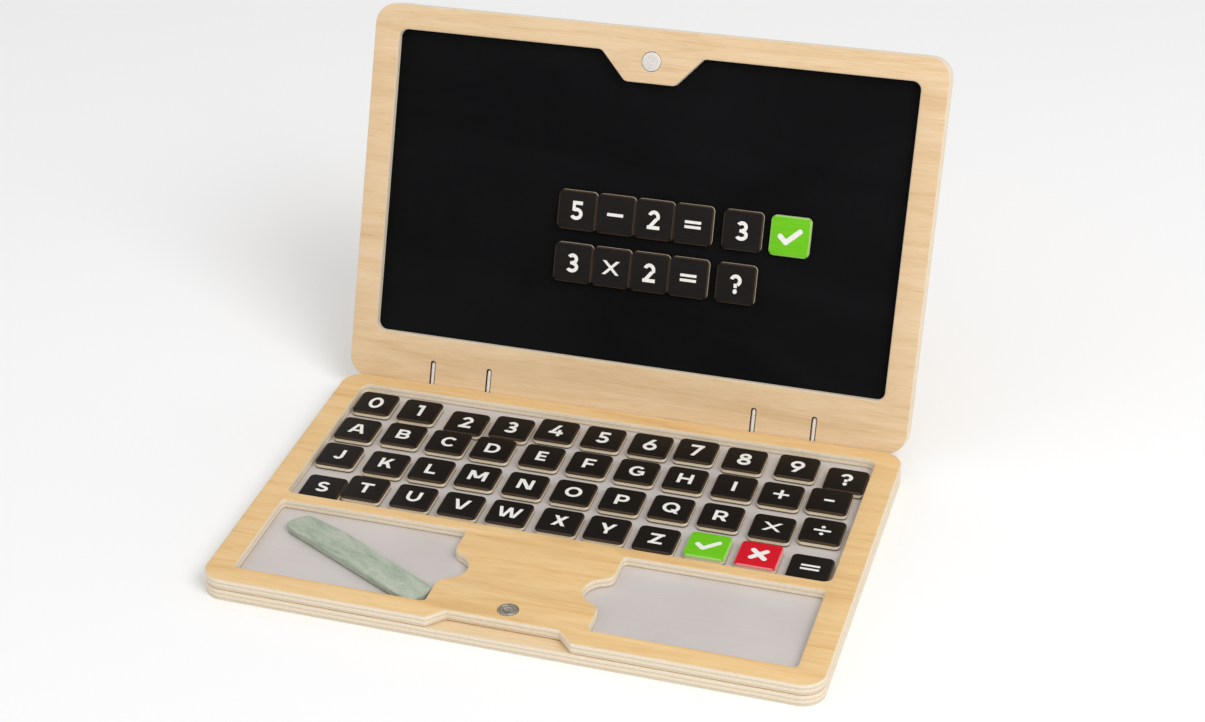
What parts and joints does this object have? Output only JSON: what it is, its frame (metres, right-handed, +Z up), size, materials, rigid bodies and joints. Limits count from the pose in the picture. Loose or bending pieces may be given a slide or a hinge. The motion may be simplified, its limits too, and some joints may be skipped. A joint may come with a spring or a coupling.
{
  "type": "toy laptop computer",
  "caption": "Wooden toy laptop with a tray of loose letter and number tiles, two compartments, a stick of chalk, and a magnetic chalkboard lid on elastic cord hinges.",
  "frame": {"origin": "centre of the base's underside, on the surface that the laptop stands on", "axes": "+Z up, +X to the user's right along the hinge, +Y away from the user"},
  "size_m": [0.33, 0.3078, 0.2179],
  "materials": {
    "face_ply": "clear sealed birch faced plywood, satin",
    "back_ply": "clear sealed plywood, satin",
    "bare_steel": "matt zinc coated sheet",
    "blackboard": "matt blackboard paint",
    "grey_steel": "dull plated steel",
    "elastic": "braided white elastic cord",
    "chalk": "matt, pale grey green, slightly mottled",
    "tile_black": "satin black magnetic tile with a light printed character",
    "tile_green": "satin green printed magnetic tile with a white tick",
    "tile_red": "satin red printed magnetic tile with a white cross"
  },
  "bodies": {
    "base": {"base_bottom_board": "back_ply", "base_steel_sheet": "bare_steel", "base_frame": "face_ply", "base_catch": "grey_steel", "hinge_cord_base_half_left": "elastic", "hinge_cord_base_half_right": "elastic"},
    "lid": {"lid_frame": "face_ply", "lid_chalkboard_sheet": "blackboard", "lid_back_board": "back_ply", "lid_magnet": "grey_steel", "hinge_cord_lid_half_left": "elastic", "hinge_cord_lid_half_right": "elastic"},
    "chalk": {"chalk": "chalk"},
    "tile_0": {"tile_0": "tile_black"},
    "tile_1": {"tile_1": "tile_black"},
    "tile_3": {"tile_3": "tile_black"},
    "tile_4": {"tile_4": "tile_black"},
    "tile_5": {"tile_5": "tile_black"},
    "tile_6": {"tile_6": "tile_black"},
    "tile_7": {"tile_7": "tile_black"},
    "tile_8": {"tile_8": "tile_black"},
    "tile_9": {"tile_9": "tile_black"},
    "tile_A": {"tile_A": "tile_black"},
    "tile_B": {"tile_B": "tile_black"},
    "tile_C_and_2": {"tile_C_and_2": "tile_black"},
    "tile_D": {"tile_D": "tile_black"},
    "tile_E": {"tile_E": "tile_black"},
    "tile_F": {"tile_F": "tile_black"},
    "tile_G": {"tile_G": "tile_black"},
    "tile_H": {"tile_H": "tile_black"},
    "tile_I": {"tile_I": "tile_black"},
    "tile_J": {"tile_J": "tile_black"},
    "tile_K": {"tile_K": "tile_black"},
    "tile_L": {"tile_L": "tile_black"},
    "tile_M": {"tile_M": "tile_black"},
    "tile_N": {"tile_N": "tile_black"},
    "tile_O": {"tile_O": "tile_black"},
    "tile_P": {"tile_P": "tile_black"},
    "tile_Q": {"tile_Q": "tile_black"},
    "tile_R": {"tile_R": "tile_black"},
    "tile_S": {"tile_S": "tile_black"},
    "tile_T": {"tile_T": "tile_black"},
    "tile_U": {"tile_U": "tile_black"},
    "tile_V": {"tile_V": "tile_black"},
    "tile_W": {"tile_W": "tile_black"},
    "tile_X": {"tile_X": "tile_black"},
    "tile_Y": {"tile_Y": "tile_black"},
    "tile_Z": {"tile_Z": "tile_black"},
    "tile_cross": {"tile_cross": "tile_red"},
    "tile_divide": {"tile_divide": "tile_black"},
    "tile_equals": {"tile_equals": "tile_black"},
    "tile_minus_and_query": {"tile_minus_and_query": "tile_black"},
    "tile_plus": {"tile_plus": "tile_black"},
    "tile_tick": {"tile_tick": "tile_green"},
    "tile_times": {"tile_times": "tile_black"},
    "screen_tile_3": {"screen_tile_3": "tile_black"},
    "screen_tile_query": {"screen_tile_query": "tile_black"},
    "screen_tile_tick": {"screen_tile_tick": "tile_green"},
    "screen_tiles_3_times_2_equals": {"screen_tiles_3_times_2_equals": "tile_black"},
    "screen_tiles_5_minus_2_equals": {"screen_tiles_5_minus_2_equals": "tile_black"}
  },
  "joints": [
    {"name": "lid_hinge", "type": "hinge", "parent": "base", "child": "lid", "pos_m": [0, 0.1094, 0.01215], "axis": [-1, 0, 0], "range_deg": [-110, 0]},
    {"name": "chalk_lift", "type": "slide", "parent": "base", "child": "chalk", "axis": [0, 0, 1], "range_m": [0, 0.012]},
    {"name": "tile_0_lift", "type": "slide", "parent": "base", "child": "tile_0", "axis": [0, 0, 1], "range_m": [0, 0.012]},
    {"name": "tile_1_lift", "type": "slide", "parent": "base", "child": "tile_1", "axis": [0, 0, 1], "range_m": [0, 0.012]},
    {"name": "tile_3_lift", "type": "slide", "parent": "base", "child": "tile_3", "axis": [0, 0, 1], "range_m": [0, 0.012]},
    {"name": "tile_4_lift", "type": "slide", "parent": "base", "child": "tile_4", "axis": [0, 0, 1], "range_m": [0, 0.012]},
    {"name": "tile_5_lift", "type": "slide", "parent": "base", "child": "tile_5", "axis": [0, 0, 1], "range_m": [0, 0.012]},
    {"name": "tile_6_lift", "type": "slide", "parent": "base", "child": "tile_6", "axis": [0, 0, 1], "range_m": [0, 0.012]},
    {"name": "tile_7_lift", "type": "slide", "parent": "base", "child": "tile_7", "axis": [0, 0, 1], "range_m": [0, 0.012]},
    {"name": "tile_8_lift", "type": "slide", "parent": "base", "child": "tile_8", "axis": [0, 0, 1], "range_m": [0, 0.012]},
    {"name": "tile_9_lift", "type": "slide", "parent": "base", "child": "tile_9", "axis": [0, 0, 1], "range_m": [0, 0.012]},
    {"name": "tile_A_lift", "type": "slide", "parent": "base", "child": "tile_A", "axis": [0, 0, 1], "range_m": [0, 0.012]},
    {"name": "tile_B_lift", "type": "slide", "parent": "base", "child": "tile_B", "axis": [0, 0, 1], "range_m": [0, 0.012]},
    {"name": "tile_C_and_2_lift", "type": "slide", "parent": "base", "child": "tile_C_and_2", "axis": [0, 0, 1], "range_m": [0, 0.012]},
    {"name": "tile_D_lift", "type": "slide", "parent": "base", "child": "tile_D", "axis": [0, 0, 1], "range_m": [0, 0.012]},
    {"name": "tile_E_lift", "type": "slide", "parent": "base", "child": "tile_E", "axis": [0, 0, 1], "range_m": [0, 0.012]},
    {"name": "tile_F_lift", "type": "slide", "parent": "base", "child": "tile_F", "axis": [0, 0, 1], "range_m": [0, 0.012]},
    {"name": "tile_G_lift", "type": "slide", "parent": "base", "child": "tile_G", "axis": [0, 0, 1], "range_m": [0, 0.012]},
    {"name": "tile_H_lift", "type": "slide", "parent": "base", "child": "tile_H", "axis": [0, 0, 1], "range_m": [0, 0.012]},
    {"name": "tile_I_lift", "type": "slide", "parent": "base", "child": "tile_I", "axis": [0, 0, 1], "range_m": [0, 0.012]},
    {"name": "tile_J_lift", "type": "slide", "parent": "base", "child": "tile_J", "axis": [0, 0, 1], "range_m": [0, 0.012]},
    {"name": "tile_K_lift", "type": "slide", "parent": "base", "child": "tile_K", "axis": [0, 0, 1], "range_m": [0, 0.012]},
    {"name": "tile_L_lift", "type": "slide", "parent": "base", "child": "tile_L", "axis": [0, 0, 1], "range_m": [0, 0.012]},
    {"name": "tile_M_lift", "type": "slide", "parent": "base", "child": "tile_M", "axis": [0, 0, 1], "range_m": [0, 0.012]},
    {"name": "tile_N_lift", "type": "slide", "parent": "base", "child": "tile_N", "axis": [0, 0, 1], "range_m": [0, 0.012]},
    {"name": "tile_O_lift", "type": "slide", "parent": "base", "child": "tile_O", "axis": [0, 0, 1], "range_m": [0, 0.012]},
    {"name": "tile_P_lift", "type": "slide", "parent": "base", "child": "tile_P", "axis": [0, 0, 1], "range_m": [0, 0.012]},
    {"name": "tile_Q_lift", "type": "slide", "parent": "base", "child": "tile_Q", "axis": [0, 0, 1], "range_m": [0, 0.012]},
    {"name": "tile_R_lift", "type": "slide", "parent": "base", "child": "tile_R", "axis": [0, 0, 1], "range_m": [0, 0.012]},
    {"name": "tile_S_lift", "type": "slide", "parent": "base", "child": "tile_S", "axis": [0, 0, 1], "range_m": [0, 0.012]},
    {"name": "tile_T_lift", "type": "slide", "parent": "base", "child": "tile_T", "axis": [0, 0, 1], "range_m": [0, 0.012]},
    {"name": "tile_U_lift", "type": "slide", "parent": "base", "child": "tile_U", "axis": [0, 0, 1], "range_m": [0, 0.012]},
    {"name": "tile_V_lift", "type": "slide", "parent": "base", "child": "tile_V", "axis": [0, 0, 1], "range_m": [0, 0.012]},
    {"name": "tile_W_lift", "type": "slide", "parent": "base", "child": "tile_W", "axis": [0, 0, 1], "range_m": [0, 0.012]},
    {"name": "tile_X_lift", "type": "slide", "parent": "base", "child": "tile_X", "axis": [0, 0, 1], "range_m": [0, 0.012]},
    {"name": "tile_Y_lift", "type": "slide", "parent": "base", "child": "tile_Y", "axis": [0, 0, 1], "range_m": [0, 0.012]},
    {"name": "tile_Z_lift", "type": "slide", "parent": "base", "child": "tile_Z", "axis": [0, 0, 1], "range_m": [0, 0.012]},
    {"name": "tile_cross_lift", "type": "slide", "parent": "base", "child": "tile_cross", "axis": [0, 0, 1], "range_m": [0, 0.012]},
    {"name": "tile_divide_lift", "type": "slide", "parent": "base", "child": "tile_divide", "axis": [0, 0, 1], "range_m": [0, 0.012]},
    {"name": "tile_equals_lift", "type": "slide", "parent": "base", "child": "tile_equals", "axis": [0, 0, 1], "range_m": [0, 0.012]},
    {"name": "tile_minus_and_query_lift", "type": "slide", "parent": "base", "child": "tile_minus_and_query", "axis": [0, 0, 1], "range_m": [0, 0.012]},
    {"name": "tile_plus_lift", "type": "slide", "parent": "base", "child": "tile_plus", "axis": [0, 0, 1], "range_m": [0, 0.012]},
    {"name": "tile_tick_lift", "type": "slide", "parent": "base", "child": "tile_tick", "axis": [0, 0, 1], "range_m": [0, 0.012]},
    {"name": "tile_times_lift", "type": "slide", "parent": "base", "child": "tile_times", "axis": [0, 0, 1], "range_m": [0, 0.012]},
    {"name": "tile_on_screen_3_lift", "type": "slide", "parent": "lid", "child": "screen_tile_3", "axis": [0, -0.9397, 0.342], "range_m": [0, 0.012]},
    {"name": "tile_on_screen_query_lift", "type": "slide", "parent": "lid", "child": "screen_tile_query", "axis": [0, -0.9397, 0.342], "range_m": [0, 0.012]},
    {"name": "tile_on_screen_tick_lift", "type": "slide", "parent": "lid", "child": "screen_tile_tick", "axis": [0, -0.9397, 0.342], "range_m": [0, 0.012]},
    {"name": "tile_on_screen_3_times_2_equals_lift", "type": "slide", "parent": "lid", "child": "screen_tiles_3_times_2_equals", "axis": [0, -0.9397, 0.342], "range_m": [0, 0.012]},
    {"name": "tile_on_screen_5_minus_2_equals_lift", "type": "slide", "parent": "lid", "child": "screen_tiles_5_minus_2_equals", "axis": [0, -0.9397, 0.342], "range_m": [0, 0.012]}
  ]
}
